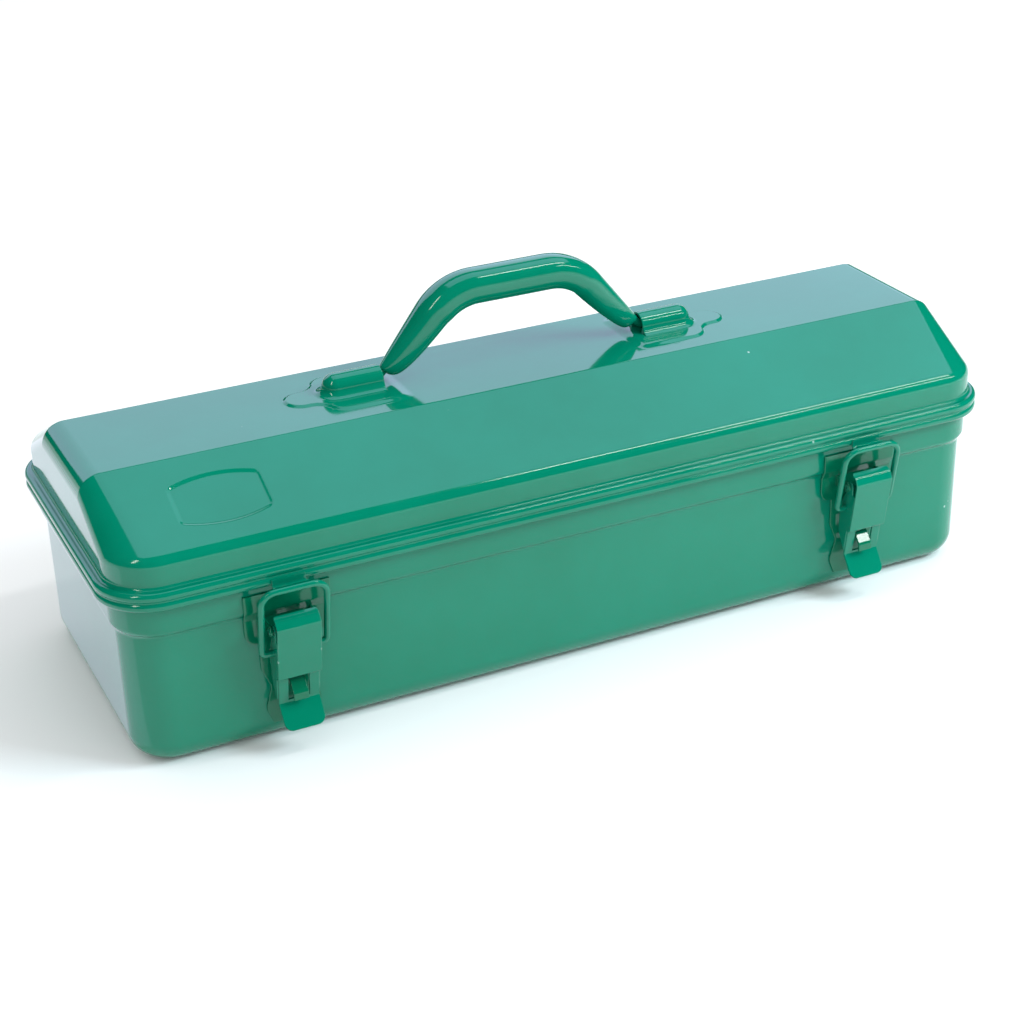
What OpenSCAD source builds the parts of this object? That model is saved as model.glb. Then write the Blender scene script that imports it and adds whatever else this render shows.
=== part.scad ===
// Pressed steel toolbox with a camber-top lid, two draw latches and a bow handle.
// X runs along the length, the latches are at -Y, the hinges at +Y, Z is up, and z = 0 is the base.

/* [Overall] */
// Length over the rim of the lid
box_l = 410; // [380:1:440]
// Width over the rim of the lid
box_w = 154; // [148:1:165]
// Height of the lid's flat top
box_h = 114; // [111:0.5:120]
// Corner radius of the rim, seen from above
rim_corner_r = 24; // [21:0.5:28]
// Thickness of the body and lid sheet
sheet_t = 0.8; // [0.6:0.1:1]

/* [Body] */
// Distance from the rim's outer face in to the body's upper band
band_inset = 4.5; // [4.4:0.1:4.7]
// Distance from the band in to the lower wall
step_in = 2; // [1.5:0.1:2.5]
// Height of the pinch between band and lower wall
step_z = 60; // [58:0.5:60.5]
// Radius of the band's rounded lower edge
band_edge_r = 3.5; // [3:0.1:3.8]
// Radius of the body's bottom edge
base_edge_r = 11; // [8:0.5:13]

/* [Lid] */
// Height of the lower rim bead's centre and of the hinge axis
rim_z = 76; // [75.5:0.25:77]
// Radius of both rim beads
bead_r = 2.1; // [2:0.05:2.1]
// Height of the upper bead over the lower one
bead_pitch = 4; // [3.8:0.1:4.1]
// Height of the body's edge over the lower bead's centre
edge_rise = 2; // [1:0.25:2.5]
// Distance from the rim's outer face in to the lid's wall
lid_inset = 4; // [3.8:0.1:4.1]
// Height at which wall and slope would meet in a sharp corner
crease_z = 94; // [92:0.5:97]
// Radius of the crease between wall and slope
crease_r = 5.5; // [4:0.5:7]
// Width of the flat top
top_w = 57; // [52:1:64]
// Radius of the edge between flat top and slope
crest_r = 3; // [2:0.5:3.5]
// Radius of the edge between flat top and end
end_edge_r = 10; // [8:0.5:12]

/* [Panel] */
// Width of the blank panel on the front slope
panel_w = 37; // [30:1:42]
// Height of the panel in its middle, up the slope
panel_h = 25; // [20:1:28]
// Rise of the panel's arched edges
panel_bow = 3.5; // [2:0.25:4]
// Distance from the rim's left end to the panel's middle
panel_from_end = 54.5; // [50:0.5:60]
// Depth of the panel
panel_depth = 0.4; // [0.2:0.1:0.5]

/* [Handle] */
// Distance between the two socket mouths
mouth_span = 124; // [120:1:130]
// Length of a socket's straight part
socket_l = 20; // [18:1:23]
// Outer radius of a socket
socket_r = 5.9; // [5.7:0.1:6.3]
// Height of the socket's axis over the flat top
socket_rise = 3.2; // [3:0.1:3.6]
// Radius of the flare between a socket and its pad
flare_r = 4; // [3:0.5:5]
// Height of the raised pad under a socket
pad_h = 0.8; // [0.6:0.1:1]
// Width of a pad beside its socket
pad_w = 37; // [34:1:40]
// Length of a pad from its socket's mouth to the tip of its tongue
pad_l = 42.5; // [41:0.5:45]
// Radius of a pad's round tongue
tongue_r = 7.5; // [6:0.5:9]
// Overlap of the cover under a socket round its slot
cover_lap = 6; // [5:0.5:8]
// Thickness of the cover under a socket
cover_t = 2; // [1.8:0.1:2.4]
// Height of the handle's top over the flat top
handle_rise = 43.8; // [40:0.2:48]
// Length of the handle's straight top
grip_flat = 34; // [30:0.5:38]
// Outer radius of the handle's shoulders
shoulder_r = 33; // [29:0.5:34]
// Slope of the handle's legs, in degrees
leg_angle = 51.5; // [50:0.5:53]
// Width of the grip
grip_w = 16.5; // [15:0.5:18]
// Depth of the grip
grip_h = 15; // [13:0.2:16]
// Thickness of the grip's sheet
grip_t = 1.4; // [1:0.1:1.8]
// Length of the handle's heads, which turn in the sockets
head_l = 12; // [9:0.5:13]

/* [Latches] */
// Distance from the rim's end to the middle of each latch
latch_from_end = 71; // [62:1:90]
// Thickness of the base, lever, staple and keeper
plate_t = 1; // [0.8:0.1:1]
// Width of the lever
lever_w = 18.4; // [17:0.1:19]
// Width of the lever's waist
waist_w = 17.2; // [16:0.1:18]
// Width of the lever's tail
tail_w = 17.2; // [15:0.1:18]
// Height of the lever's pivot
pivot_z = 56.4; // [56:0.1:57]
// Distance of the lever's pivot in front of the lower wall
pivot_out = 9.6; // [9.2:0.1:10]
// Radius of the pivot pin
pivot_r = 1.3; // [1:0.05:1.4]
// Distance from the pivot out to the front plate's upper bend
front_out = 5.4; // [5.2:0.1:5.8]
// Setback of the front plate's lower edge behind its upper bend
front_lean = 3.8; // [3.4:0.1:4.2]
// Rise of the shoulder's upper edge over the pivot
shoulder_rise = 6.6; // [6.4:0.1:6.8]
// Height of the front plate's lower edge
front_low_z = 35; // [34.8:0.1:35.6]
// Setback of the waist behind the front plate
waist_back = 2; // [1.8:0.1:2.3]
// Height of the bend between waist and tail
tail_bend_z = 21.6; // [21.2:0.1:22]
// Height of the tail's tip
tail_z = 12; // [11.5:0.1:13]
// Distance of the bail's pivot below the lever's pivot
bail_drop = 11; // [10:0.25:11.5]
// Distance of the bail's pivot behind the lever's pivot
bail_back = 2.3; // [2:0.1:2.6]
// Overall width of the bail
bail_w = 30; // [29:0.5:33]
// Radius of the bail's wire
wire_r = 1.35; // [1.2:0.05:1.4]
// Radius of the bail's upper corners at the wire's centre
bail_corner_r = 6; // [4:0.5:8]
// Width of the keeper
keeper_w = 14; // [10:0.5:15]
// Depth of the keeper's hook below the lower bead's centre
hook_drop = 0.8; // [0.6:0.1:1.2]
// Width of the staple
staple_w = 6.4; // [5:0.1:6.6]

/* [Hinges] */
// Distance from the rim's end to the middle of each hinge
hinge_from_end = 85; // [70:1:110]
// Width of a hinge
hinge_w = 36; // [28:1:44]
// Outer radius of a hinge's knuckles
knuckle_r = 2.6; // [2.5:0.1:2.9]
// Radius of a hinge's pin
hinge_pin_r = 1.4; // [1.2:0.05:1.5]

/* [Tray] */
// Depth of the lift-out tray
tray_depth = 19; // [14:1:24]
// Radius of the tray's bottom edge
tray_edge_r = 4; // [3:0.5:6]
// Height of the tray's grip over the tray's rim
tray_grip_rise = 7; // [4:1:12]
// Length of the tray's grip
tray_grip_l = 90; // [70:1:120]
// Radius of the grip's rod
tray_rod_r = 2; // [1.5:0.1:2.5]

/* [Fits] */
// Gap between pieces that move past each other
gap = 0.3; // [0.25:0.05:0.35]
// Radial clearance of a pin that turns in its hole
pin_clear = 0.05; // [0.03:0.01:0.08]

/* [Hidden] */
round_fn = 64;
blend_fn = 40;
// Overlap of two solids that are one piece of sheet
lap = 0.01;

// Length, width and corner radius of an outline that lies the given distance in from the rim
function plan(inset) = [box_l - 2 * inset, box_w - 2 * inset, rim_corner_r - inset];
low_inset = band_inset + step_in;
body_top_z = rim_z + edge_rise;
upper_bead_z = rim_z + bead_pitch;
ledge_inset = band_inset + sheet_t + band_edge_r;
ledge_z = step_z + sheet_t;

// Lid slope, measured from the sharp corner of wall and slope
wall_y = box_w / 2 - lid_inset;
slope_run = wall_y - top_w / 2;
slope_angle = atan2(box_h - crease_z, slope_run);
slope_l = norm([slope_run, box_h - crease_z]);
crease_centre_z = crease_z - crease_r * tan((90 - slope_angle) / 2);
crest_y = top_w / 2 - crest_r * tan(slope_angle / 2);

// Sockets and handle heads share one axis along X
socket_z = box_h + socket_rise;
socket_in_r = socket_r - sheet_t;
pad_z = box_h + pad_h;
mouth_x = mouth_span / 2;
socket_end_x = mouth_x + socket_l;
slot_x = mouth_x + 3;
neck_r = socket_rise - pad_h - gap;
head_r = socket_in_r - pin_clear;
head_x1 = socket_end_x - 1;
head_x0 = head_x1 - head_l;

// Latch places, given as [distance in front of the lower wall, height]
latch_x = box_l / 2 - latch_from_end;
pivot = [pivot_out, pivot_z];
bail_pivot = pivot + [-bail_back, -bail_drop];
front_bend = pivot + [front_out, 2.4];
front_low = [front_bend[0] - front_lean, front_low_z];
lean = front_lean / (front_bend[1] - front_low_z);
waist_top = front_low - [waist_back, plate_t / 2];
waist_low = [waist_top[0] - lean * (waist_top[1] - tail_bend_z), tail_bend_z];
bead_front = [low_inset - bead_r, rim_z];
hook_r = wire_r + pin_clear + plate_t / 2;
hook_centre = [low_inset + plate_t / 2 - bead_r / 5 + hook_r, rim_z - hook_drop];
lip_out = hook_centre[0] + hook_r + plate_t / 2;

// The bail leans just in front of the keeper's lip, at its length from the pivot
bail_l = norm(hook_centre - bail_pivot);
bail_lean = asin((lip_out + gap + wire_r - bail_pivot[0]) / bail_l);

// Hinge places
hinge_x = box_l / 2 - hinge_from_end;
hinge_y = box_w / 2 + gap + knuckle_r;

// Paint colours
paint = [0.02, 0.5, 0.36];
paint_dark = [0.01, 0.4, 0.28];
paint_pale = [0.2, 0.62, 0.5];

// Flat outline of a rounded rectangle
module outline(size) {
    l = size[0];
    w = size[1];
    r = size[2];
    square([l - 2 * r, w], center = true);
    square([l, w - 2 * r], center = true);
    for (x = [-1, 1], y = [-1, 1])
        translate([x * (l / 2 - r), y * (w / 2 - r)]) circle(r, $fn = round_fn);
}

// Rounded block with upright walls
module block(size, z0, z1) {
    translate([0, 0, z0]) linear_extrude(z1 - z0) outline(size);
}

// Rounded block whose bottom edge has the radius er
module tub(size, er, z0, z1) {
    hull() for (x = [-1, 1], y = [-1, 1])
        translate([x * (size[0] / 2 - size[2]), y * (size[1] / 2 - size[2]), 0]) {
            translate([0, 0, z0 + er]) cylinder(r = size[2], h = z1 - z0 - er, $fn = blend_fn);
            translate([0, 0, z0 + er]) rotate_extrude($fn = blend_fn) translate([size[2] - er, 0])
                intersection() {
                    circle(er, $fn = blend_fn);
                    translate([0, -er]) square(2 * er);
                }
        }
}

// Section carried once round the rim; its x = 0 is the rim's outer face and its y is the height
module round_rim() {
    l = box_l;
    w = box_w;
    r = rim_corner_r;
    for (a = [0, 180]) rotate([0, 0, a]) {
        translate([-(l / 2 - r), w / 2, 0]) rotate([90, 0, 90]) linear_extrude(l - 2 * r) children();
        translate([l / 2, w / 2 - r, 0]) rotate([90, 0, 0]) linear_extrude(w - 2 * r) children();
        for (x = [-1, 1])
            translate([x * (l / 2 - r), w / 2 - r, 0]) rotate([0, 0, x > 0 ? 0 : 90])
                rotate_extrude(angle = 90, $fn = round_fn) translate([r, 0]) children();
    }
}

// Cylinder along X between two places
module rod(r, x0, x1) {
    translate([x0, 0, 0]) rotate([0, 90, 0]) cylinder(r = r, h = x1 - x0, $fn = round_fn);
}

// Side view drawn as [distance, height], given the width w along X
module across(w) {
    translate([-w / 2, 0, 0]) rotate([90, 0, 90]) linear_extrude(w) children();
}

// Front view drawn as [x, height], given the depth d away from the wall
module outward(d) {
    translate([0, d, 0]) rotate([90, 0, 0]) linear_extrude(d) children();
}

// Flat strip of thickness t that follows the points, with round bends
module strip(points, t) {
    for (i = [0 : len(points) - 2]) {
        d = points[i + 1] - points[i];
        translate(points[i]) rotate(atan2(d[1], d[0])) translate([0, -t / 2]) square([norm(d), t]);
    }
    for (i = [1 : len(points) - 2]) translate(points[i]) circle(t / 2, $fn = round_fn);
}

// Copies of a latch piece stand on the lower wall, and their +Y points away from it
module at_latch(side) {
    translate([side * latch_x, -(box_w / 2 - low_inset), 0]) mirror([0, 1, 0]) children();
}

// Deep-drawn pan whose pinched waist carries the tray
module body_shell() {
    color(paint) difference() {
        union() {
            tub(plan(low_inset), base_edge_r, 0, step_z + lap);
            tub(plan(band_inset), band_edge_r, step_z, body_top_z);
        }
        tub(plan(low_inset + sheet_t), base_edge_r - sheet_t, sheet_t, step_z - sheet_t);
        block(plan(ledge_inset), step_z - sheet_t - lap, body_top_z);
        tub(plan(band_inset + sheet_t), band_edge_r - sheet_t, ledge_z, body_top_z + lap);
    }
}

// Camber-top form, the given distance inside the lid's outer face and standing on z0
module camber(inset, z0) {
    size = plan(lid_inset + inset);
    cr = crease_r - inset;
    er = end_edge_r - inset;
    sr = crest_r - inset;
    hull() for (x = [-1, 1], y = [-1, 1]) {
        translate([x * (size[0] / 2 - size[2]), y * (size[1] / 2 - size[2]), 0]) {
            translate([0, 0, z0]) cylinder(r = size[2], h = sheet_t, $fn = blend_fn);
            translate([0, 0, crease_centre_z])
                rotate_extrude($fn = blend_fn) translate([size[2] - cr, 0]) circle(cr, $fn = blend_fn);
        }
        translate([x * (size[0] / 2 - er), y * crest_y, box_h - inset - er]) rotate([90, 0, 0])
            rotate_extrude($fn = blend_fn) translate([er - sr, 0]) circle(sr, $fn = blend_fn);
    }
}

// Section of both rim beads and of the web that joins them to the lid's wall
module rim_section() {
    for (z = [rim_z, upper_bead_z]) translate([-bead_r, z]) circle(bead_r, $fn = round_fn);
    web_in = band_inset - gap;
    translate([-web_in, rim_z]) square([web_in - bead_r, bead_pitch]);
    translate([-lid_inset - sheet_t, body_top_z + gap])
        square([lid_inset + sheet_t - bead_r, upper_bead_z + bead_r / 2 - body_top_z - gap]);
}

// Points on an arc, with or without its first one
arc_faces = 10;
function arc_points(centre, r, from, to, first = 0) =
    [for (i = [first : arc_faces]) let (a = from + (to - from) * i / arc_faces)
        centre + r * [cos(a), sin(a)]];

// Outline of the right pad: broad beside the socket, then drawn in to a round tongue
pad_x0 = mouth_x - 6;
pad_end_r = 3;
pad_corner_r = 8;
pad_cove_r = 8;
tongue_x = mouth_x + pad_l - tongue_r;
cove_x = tongue_x - 1;
pad_turn = acos(1 - (pad_w / 2 - tongue_r) / (pad_corner_r + pad_cove_r));
corner_x = cove_x - (pad_corner_r + pad_cove_r) * sin(pad_turn);
module pad_outline() {
    half = concat(
        arc_points([pad_x0 + pad_end_r, pad_w / 2 - pad_end_r], pad_end_r, 180, 90),
        arc_points([corner_x, pad_w / 2 - pad_corner_r], pad_corner_r, 90, 90 - pad_turn),
        arc_points([cove_x, tongue_r + pad_cove_r], pad_cove_r, 270 - pad_turn, 270, 1),
        arc_points([tongue_x, 0], tongue_r, 90, 0));
    polygon(concat(half, [for (i = [len(half) - 2 : -1 : 0]) [half[i][0], -half[i][1]]]));
}

// Half section of the flare that runs from a pad up to where it touches the socket's round top
flare_y = sqrt(pow(socket_r + flare_r, 2) - pow(pad_h + flare_r - socket_rise, 2));
flare_end = 180 + atan2(pad_h + flare_r - socket_rise, flare_y);
module flare_section() {
    arc = arc_points([flare_y, pad_z + flare_r], flare_r, 270, flare_end);
    touch = [0, socket_z] + (1 - lap / socket_r) * (arc[arc_faces] - [0, socket_z]);
    polygon(concat([[0, pad_z - sheet_t], [flare_y, pad_z - sheet_t]],
                   [for (i = [0 : arc_faces - 1]) arc[i]], [touch, [0, socket_z]]));
}

// Right socket with its pad and the flare where the two meet
module socket_outside() {
    translate([0, 0, box_h - sheet_t]) linear_extrude(sheet_t + pad_h) pad_outline();
    intersection() {
        translate([0, 0, socket_z]) union() {
            rod(socket_r, mouth_x, socket_end_x);
            translate([socket_end_x, 0, 0]) sphere(socket_r, $fn = round_fn);
        }
        translate([mouth_x - 1, -2 * socket_r, box_h - sheet_t])
            cube([socket_l + 2 * socket_r, 4 * socket_r, 3 * socket_r]);
    }
    for (y = [0, 1]) mirror([0, y, 0])
        translate([mouth_x, 0, 0]) rotate([90, 0, 90]) linear_extrude(socket_l) flare_section();
    translate([socket_end_x, 0, 0]) rotate([0, 0, -90]) rotate_extrude(angle = 180, $fn = round_fn)
        flare_section();
}

// Hollow of the right socket, open at the mouth over the pad and further in down through the lid's sheet
module socket_inside() {
    intersection() {
        translate([0, 0, socket_z]) rod(socket_in_r, mouth_x - 1, socket_end_x);
        translate([mouth_x - 2, -socket_r, pad_z]) cube([socket_l + 4, 2 * socket_r, 2 * socket_r]);
    }
    translate([slot_x, -socket_in_r, box_h - 2 * sheet_t])
        cube([socket_end_x - slot_x, 2 * socket_in_r, socket_rise + 2 * sheet_t]);
}

// Blank panel, bowed above and below, drawn at its middle
module panel_outline() {
    bow_r = (pow(panel_w / 2, 2) + pow(panel_bow, 2)) / (2 * panel_bow);
    intersection() {
        square([panel_w, panel_h], center = true);
        for (y = [-1, 1]) translate([0, y * (panel_h / 2 - bow_r)]) circle(bow_r, $fn = 2 * round_fn);
    }
}

module lid_shell() {
    color(paint) difference() {
        union() {
            difference() {
                camber(0, body_top_z + gap);
                camber(sheet_t, body_top_z + gap - lap);
            }
            round_rim() rim_section();
            for (a = [0, 180]) rotate([0, 0, a]) socket_outside();
        }
        for (a = [0, 180]) rotate([0, 0, a]) socket_inside();
        translate([-box_l / 2 + panel_from_end, -wall_y, crease_z]) rotate([slope_angle, 0, 0])
            translate([0, slope_l / 2, -panel_depth]) linear_extrude(1) panel_outline();
    }
}

// Cover spot-welded under a socket, with the groove that the handle's head turns in
module socket_cover(side) {
    x0 = slot_x - cover_lap;
    half_w = socket_in_r + cover_lap;
    color(paint_dark) mirror([side < 0 ? 1 : 0, 0, 0]) difference() {
        translate([x0, -half_w, box_h - sheet_t - cover_t])
            cube([socket_end_x + cover_lap - x0, 2 * half_w, cover_t]);
        translate([0, 0, socket_z]) rod(socket_in_r, slot_x, socket_end_x);
    }
}

// Handle: half of the outer contour as [x, height, slope, share of the taper still to come]
arc_steps = 8;
leg_steps = 6;
bend_steps = 4;
bend_r = 6;
taper_power = 0.5;
arc_end = [grip_flat / 2 + shoulder_r * sin(leg_angle),
           box_h + handle_rise - shoulder_r * (1 - cos(leg_angle))];
leg_run = (arc_end[1] - socket_z - neck_r) / sin(leg_angle) - bend_r * tan(leg_angle / 2);
leg_end = arc_end + leg_run * [cos(leg_angle), -sin(leg_angle)];

// The taper starts near the end of each shoulder and ends with the leg
taper_angle = 0.8 * leg_angle;
taper_arc = shoulder_r * PI * (leg_angle - taper_angle) / 180;
function taper(l) = pow(max(0, 1 - max(0, l) / (taper_arc + leg_run)), taper_power);
half_contour = concat(
    [[0, box_h + handle_rise, 0, 1]],
    [for (i = [0 : arc_steps]) let (a = leg_angle * i / arc_steps)
        [grip_flat / 2 + shoulder_r * sin(a), box_h + handle_rise - shoulder_r * (1 - cos(a)), a,
         taper(shoulder_r * PI * (a - taper_angle) / 180)]],
    [for (i = [1 : leg_steps]) let (s = i / leg_steps, p = arc_end + s * (leg_end - arc_end))
        [p[0], p[1], leg_angle, taper(taper_arc + s * leg_run)]],
    [for (i = [1 : bend_steps]) let (a = leg_angle * (1 - i / bend_steps))
        [leg_end[0] + bend_r * (sin(leg_angle) - sin(a)), leg_end[1] - bend_r * (cos(a) - cos(leg_angle)),
         a, 0]]);
full_contour = concat(
    [for (i = [len(half_contour) - 1 : -1 : 1]) let (p = half_contour[i]) [-p[0], p[1], -p[2], p[3]]],
    half_contour);
neck_end_x = half_contour[len(half_contour) - 1][0];

// The sheet's section is open below: once round outside, then back inside
section_steps = 14;
section_open = 55;
section_power = 0.8;
end_r = neck_r - 0.2;
neck_lap = 1.5;
function section_angle(i) = 90 + (90 + section_open) * (2 * i / section_steps - 1);
function full_round(v) = sign(v) * pow(abs(v), section_power);
function section_point(c, a, t) =
    let (hw = end_r + (grip_w / 2 - end_r) * c[3],
         hh = end_r + (grip_h / 2 - end_r) * c[3],
         y = (hw - t) * full_round(cos(a)),
         v = (hh - t) * full_round(sin(a)) - hh)
    [c[0] + v * sin(c[2]), y, c[1] + v * cos(c[2])];
function section_ring(c) = concat(
    [for (i = [0 : section_steps]) section_point(c, section_angle(i), 0)],
    [for (i = [section_steps : -1 : 0]) section_point(c, section_angle(i), grip_t)]);

module carry_handle() {
    rings = [for (c = full_contour) section_ring(c)];
    n = len(rings[0]);
    last = (len(rings) - 1) * n;
    points = [for (ring = rings) each ring];
    walls = [for (i = [0 : len(rings) - 2], j = [0 : n - 1])
        let (a = i * n + j, b = i * n + (j + 1) % n)
        each [[a, b + n, b], [a, a + n, b + n]]];
    caps = [for (j = [0 : section_steps - 1])
        let (a = j, b = j + 1, c = n - 2 - j, d = n - 1 - j)
        each [[a, b, c], [a, c, d], [last + c, last + b, last + a], [last + d, last + c, last + a]]];
    color(paint) {
        polyhedron(points, concat(walls, caps));
        for (a = [0, 180]) rotate([0, 0, a]) translate([0, 0, socket_z]) {
            rod(neck_r, neck_end_x - neck_lap, head_x0 + lap);
            rod(head_r, head_x0, head_x1);
        }
    }
}

// Bent profiles of a hinge's body leaf and lid leaf, seen from the left
leaf_t = plate_t;
knuckle_mid = knuckle_r - leaf_t / 2;
knuckle_back = 2.5;
module body_leaf_profile() {
    y = box_w / 2 - band_inset + leaf_t / 2;
    z = rim_z - bead_r - gap - leaf_t;
    strip([[hinge_y, rim_z - knuckle_mid], [hinge_y - knuckle_back, z], [y, z],
           [y, step_z + band_edge_r]], leaf_t);
}
module lid_leaf_profile() {
    y = wall_y + leaf_t / 2;
    z = upper_bead_z + bead_r + gap + leaf_t;
    strip([[hinge_y, rim_z + knuckle_mid], [hinge_y - 0.6 * knuckle_back, upper_bead_z + bead_r / 2],
           [hinge_y - 1.4 * knuckle_back, z], [y, z], [y, crease_centre_z]], leaf_t);
}

// A leaf with its knuckles, bored for the pin; each knuckle is given as [start, end]
module leaf(knuckles, bore_r) {
    difference() {
        union() {
            for (k = knuckles) translate([(k[0] + k[1]) / 2, 0, 0]) {
                across(k[1] - k[0]) children(0);
                translate([0, hinge_y, rim_z]) rod(knuckle_r, -(k[1] - k[0]) / 2, (k[1] - k[0]) / 2);
            }
            across(hinge_w) intersection() {
                children(0);
                square([box_w / 2 - bead_r, box_h]);
            }
        }
        translate([0, hinge_y, rim_z]) rod(bore_r, -hinge_w, hinge_w);
    }
}

knuckle_l = (hinge_w - 4 * gap) / 3;
module hinge_body_leaf(side) {
    inner = knuckle_l / 2 + gap;
    color(paint_dark) translate([side * hinge_x, 0, 0])
        leaf([[-hinge_w / 2, -inner], [inner, hinge_w / 2]], hinge_pin_r) body_leaf_profile();
}
module hinge_lid_leaf(side) {
    color(paint) translate([side * hinge_x, 0, 0])
        leaf([[-knuckle_l / 2, knuckle_l / 2]], hinge_pin_r + pin_clear) lid_leaf_profile();
}
module hinge_pin(side) {
    color(paint_pale) translate([side * hinge_x, hinge_y, rim_z])
        rod(hinge_pin_r, -hinge_w / 2, hinge_w / 2);
}

// The latch base crosses from the lower wall on to the band
base_low_z = 9.6;
base_top_z = 70;
joggle_z = step_z - 1.5;
joggle_h = 4;
ear_x = lever_w / 2 + gap;
ear_r = 2.6;
module latch_base(side) {
    color(paint_dark) at_latch(side) difference() {
        union() {
            intersection() {
                across(bail_w + 12) polygon([
                    [0, base_low_z], [plate_t, base_low_z], [plate_t, joggle_z],
                    [plate_t + step_in, joggle_z + joggle_h], [plate_t + step_in, base_top_z],
                    [step_in, base_top_z], [step_in, joggle_z + joggle_h], [0, joggle_z]]);
                outward(plate_t + step_in) base_outline();
            }
            for (s = [-1, 1]) translate([s * (ear_x + plate_t / 2), 0, 0]) across(plate_t) {
                translate(pivot) circle(ear_r, $fn = round_fn);
                translate([plate_t / 2, pivot_z - ear_r]) square([pivot_out - plate_t / 2, 2 * ear_r]);
            }
        }
        translate([0, pivot[0], pivot[1]]) rod(pivot_r, -bail_w, bail_w);
    }
}
module base_outline() {
    head_w = 36;
    mid_w = 25;
    neck_w = 18.4;
    foot_w = 23;
    head_z = 52;
    mid_z = 35;
    foot_z = [6, 8, 16];
    corner_r = 5;
    translate([-head_w / 2, head_z]) square([head_w, base_top_z - head_z]);
    translate([-head_w / 2 + corner_r, head_z - corner_r]) square([head_w - 2 * corner_r, 2 * corner_r]);
    for (s = [-1, 1]) translate([s * (head_w / 2 - corner_r), head_z]) circle(corner_r, $fn = round_fn);
    translate([-mid_w / 2, mid_z]) square([mid_w, head_z - mid_z]);
    translate([-neck_w / 2, base_low_z]) square([neck_w, head_z - base_low_z]);
    for (s = [-1, 1]) {
        polygon([[0, mid_z], [s * mid_w / 2, mid_z], [s * neck_w / 2, mid_z - foot_z[1]],
                 [0, mid_z - foot_z[1]]]);
        polygon([[0, base_low_z], [s * neck_w / 2, base_low_z], [s * foot_w / 2, base_low_z + foot_z[0]],
                 [s * foot_w / 2, base_low_z + foot_z[1]], [s * neck_w / 2, base_low_z + foot_z[2]],
                 [0, base_low_z + foot_z[2]]]);
    }
}

// Padlock staple: a foot on the base, then a tongue out through the lever's window
module latch_staple(side) {
    root_z = front_low_z - 3.8;
    tip_out = waist_top[0] + 1.5;
    foot_l = 5.6;
    bend = [4.2, 4.6];
    tip_l = 3;
    color(paint_dark) at_latch(side) across(staple_w)
        strip([[plate_t * 1.5, root_z - foot_l], [plate_t * 1.5, root_z], [tip_out - bend[0], root_z],
               [tip_out, root_z - bend[1]], [tip_out, root_z - bend[1] - tip_l]], plate_t);
}

// Tubular pin through both ears of the base and the lever
module latch_pin(side) {
    l = ear_x + plate_t + gap;
    color(paint_pale) at_latch(side) translate([0, pivot[0], pivot[1]]) difference() {
        rod(pivot_r, -l, l);
        rod(pivot_r / 2, -l - 1, l + 1);
    }
}

// Lever: a plate bent over the pivot, down the leaning front, in to the waist and out to the tail
module lever_plate() {
    shoulder_out = 1.2;
    tail_out = 7.2;
    intersection() {
        across(lever_w) strip([pivot + [shoulder_out, shoulder_rise], front_bend, front_low, waist_top,
                               waist_low, [waist_low[0] + tail_out, tail_z]], plate_t);
        outward(2 * front_bend[0]) lever_outline();
    }
}
module lever_outline() {
    low = front_low_z - plate_t;
    window_w = staple_w + 8 * gap;
    window_z = tail_bend_z + plate_t;
    tail_r = 3;
    tail_top_z = tail_bend_z - plate_t;
    translate([-lever_w / 2, low]) square([lever_w, pivot_z]);
    difference() {
        translate([-waist_w / 2, tail_top_z - 1]) square([waist_w, low - tail_top_z + 1 + lap]);
        translate([-window_w / 2, window_z]) square([window_w, low - window_z]);
    }
    translate([-tail_w / 2 + tail_r, 0]) square([tail_w - 2 * tail_r, tail_top_z]);
    translate([-tail_w / 2, tail_z + tail_r]) square([tail_w, tail_top_z - tail_z - tail_r]);
    for (s = [-1, 1]) translate([s * (tail_w / 2 - tail_r), tail_z + tail_r])
        circle(tail_r, $fn = round_fn);
}
module cheek_outline() {
    eye_r = 2.4;
    back = plate_t + 6 * gap;
    back_z = [front_low_z - 3, bail_pivot[1] - 1];
    top_z = pivot_z - 1.5 * eye_r;
    translate(pivot) circle(eye_r, $fn = round_fn);
    polygon([[back, back_z[0]], [back, back_z[1]], pivot - eye_r * [1, 1.4], pivot - [eye_r, 0],
             pivot + [eye_r, 0], [pivot_out + eye_r, top_z],
             [front_bend[0] - lean * (front_bend[1] - top_z), top_z], front_low, waist_top,
             waist_low + 2 * plate_t * [lean, 1]]);
}
module latch_lever(side) {
    color(paint) at_latch(side) difference() {
        union() {
            lever_plate();
            for (s = [-1, 1]) translate([s * (lever_w / 2 - plate_t / 2), 0, 0])
                across(plate_t) cheek_outline();
        }
        translate([0, pivot[0], pivot[1]]) rod(pivot_r + pin_clear, -lever_w, lever_w);
        translate([0, bail_pivot[0], bail_pivot[1]]) rod(wire_r + pin_clear, -lever_w, lever_w);
    }
}

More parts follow.
